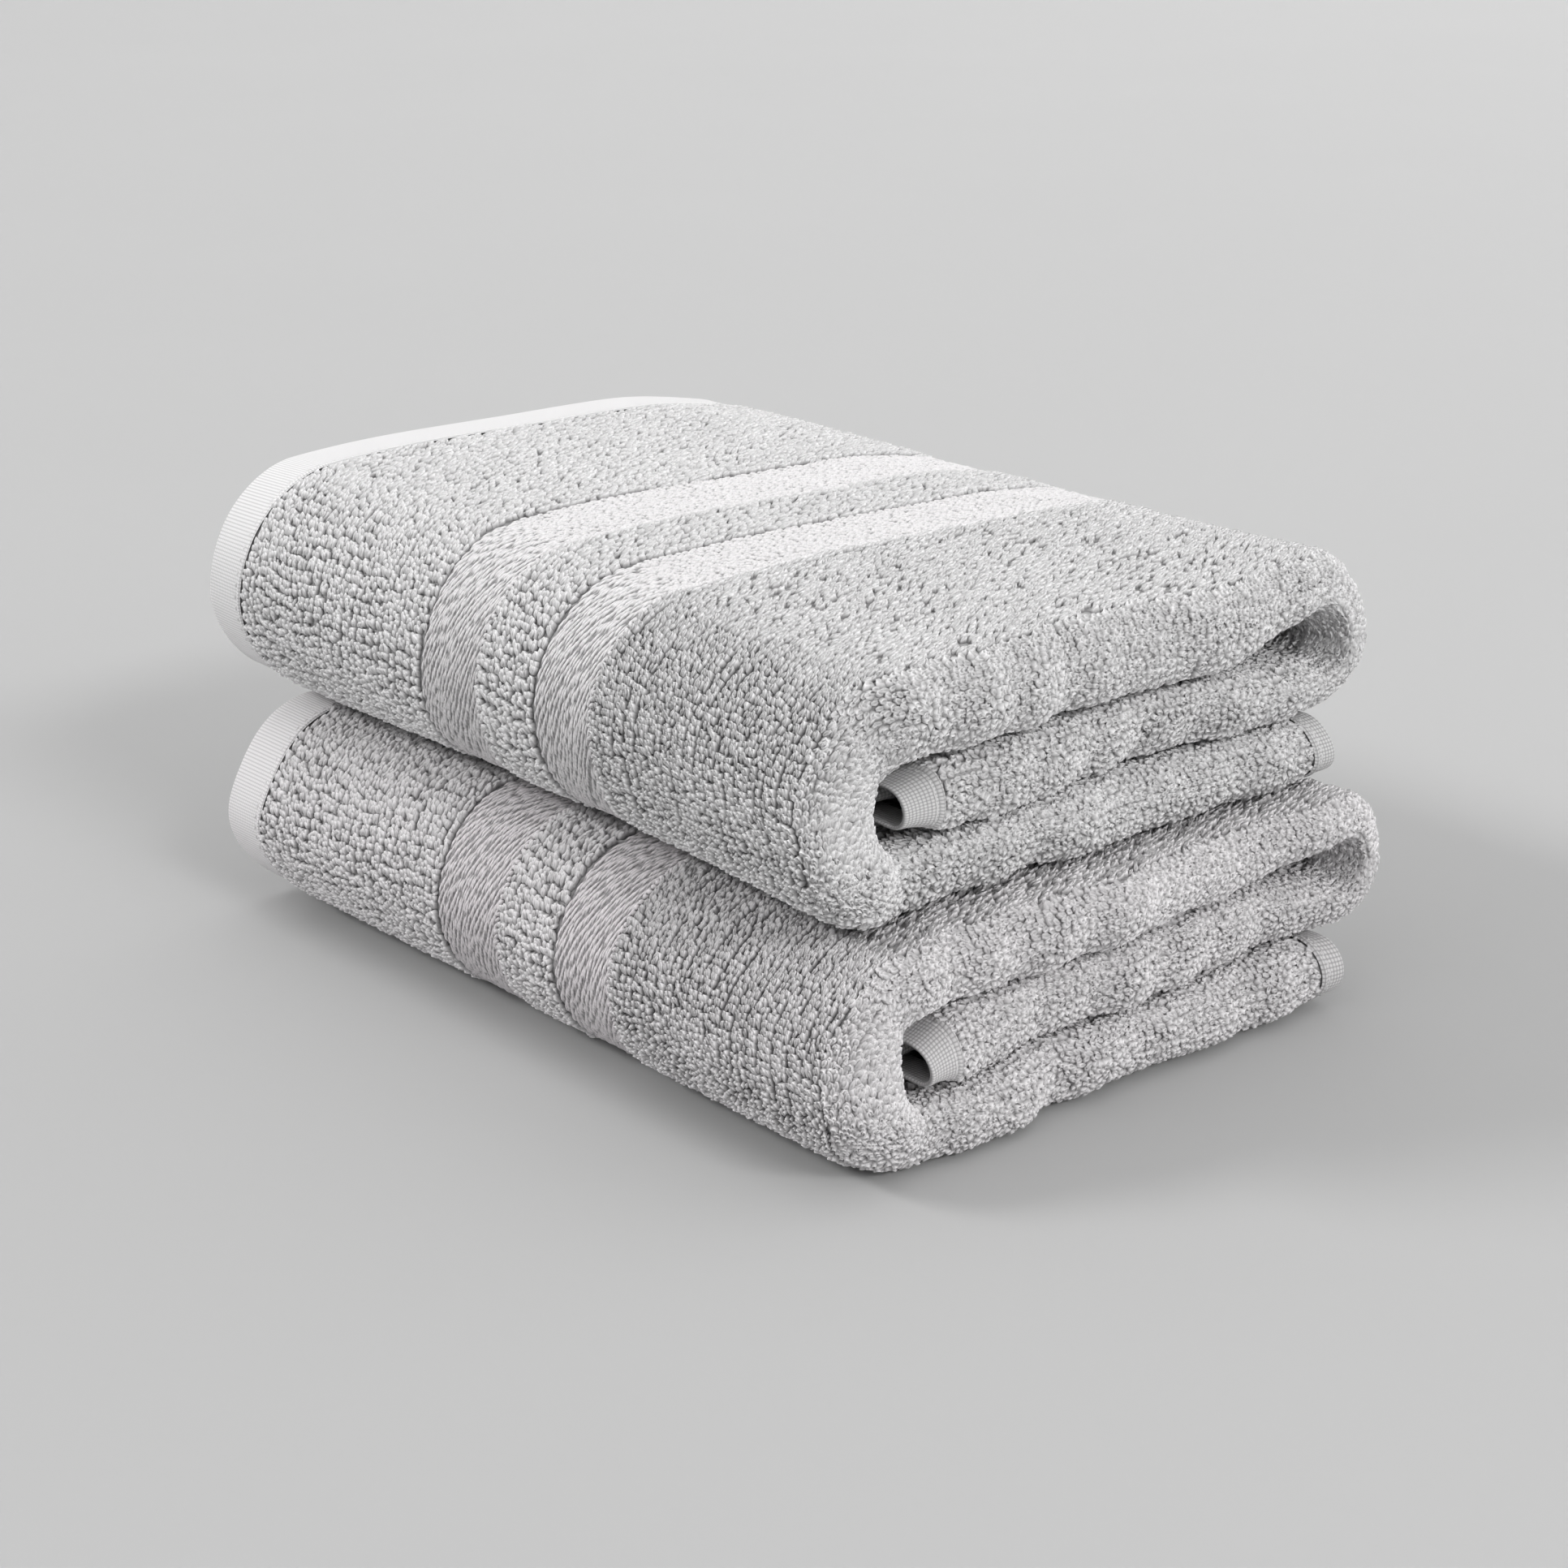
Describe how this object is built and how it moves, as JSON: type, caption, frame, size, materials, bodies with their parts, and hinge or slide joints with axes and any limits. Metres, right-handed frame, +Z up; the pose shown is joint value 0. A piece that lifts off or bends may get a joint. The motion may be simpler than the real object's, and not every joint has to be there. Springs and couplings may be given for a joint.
{
  "type": "bath towel set",
  "caption": "Stack of folded terry bath towels with hemmed ends and flat woven bands; each folded in thirds with its free edge tucked inside.",
  "frame": {"origin": "centre of the stack's bounding box, on the face that the stack rests on", "axes": "+X along the long rounded front folds, from the hemmed ends to the plain folded ends; -Y towards the rounded front folds; +Z up"},
  "size_m": [0.37, 0.2826, 0.1659],
  "materials": {
    "terry_pile": "matt looped cotton terry",
    "flat_band": "flat woven band with a slight sheen",
    "hem_canvas": "matt plain-weave hem"
  },
  "bodies": {
    "lower_base": {"lower_base_end_hem": "hem_canvas", "lower_base_second_end_hem": "hem_canvas", "lower_base_middle_fold": "terry_pile", "lower_base_end_terry": "terry_pile", "lower_base_outer_band": "flat_band", "lower_base_band_divider": "terry_pile", "lower_base_inner_band": "flat_band", "lower_base_main_terry": "terry_pile", "lower_base_side_hem": "hem_canvas"},
    "lower_flap": {"lower_flap_end_hem": "hem_canvas", "lower_flap_second_end_hem": "hem_canvas", "lower_flap_middle_fold": "terry_pile", "lower_flap_end_terry": "terry_pile", "lower_flap_outer_band": "flat_band", "lower_flap_band_divider": "terry_pile", "lower_flap_inner_band": "flat_band", "lower_flap_main_terry": "terry_pile", "lower_flap_side_hem": "hem_canvas"},
    "upper_base": {"upper_base_end_hem": "hem_canvas", "upper_base_second_end_hem": "hem_canvas", "upper_base_middle_fold": "terry_pile", "upper_base_end_terry": "terry_pile", "upper_base_outer_band": "flat_band", "upper_base_band_divider": "terry_pile", "upper_base_inner_band": "flat_band", "upper_base_main_terry": "terry_pile", "upper_base_side_hem": "hem_canvas"},
    "upper_flap": {"upper_flap_end_hem": "hem_canvas", "upper_flap_second_end_hem": "hem_canvas", "upper_flap_middle_fold": "terry_pile", "upper_flap_end_terry": "terry_pile", "upper_flap_outer_band": "flat_band", "upper_flap_band_divider": "terry_pile", "upper_flap_inner_band": "flat_band", "upper_flap_main_terry": "terry_pile", "upper_flap_side_hem": "hem_canvas"}
  },
  "joints": [
    {"name": "lower_flap_fold", "type": "hinge", "parent": "lower_base", "child": "lower_flap", "pos_m": [0, -0.1413, 0.0399], "axis": [1, 0, 0], "range_deg": [0, 30]},
    {"name": "upper_towel_lift", "type": "slide", "parent": "lower_flap", "child": "upper_base", "axis": [0, 0, 1], "range_m": [0, 0.15]},
    {"name": "upper_flap_fold", "type": "hinge", "parent": "upper_base", "child": "upper_flap", "pos_m": [0, -0.1347, 0.123], "axis": [1, 0, 0], "range_deg": [0, 110]}
  ]
}
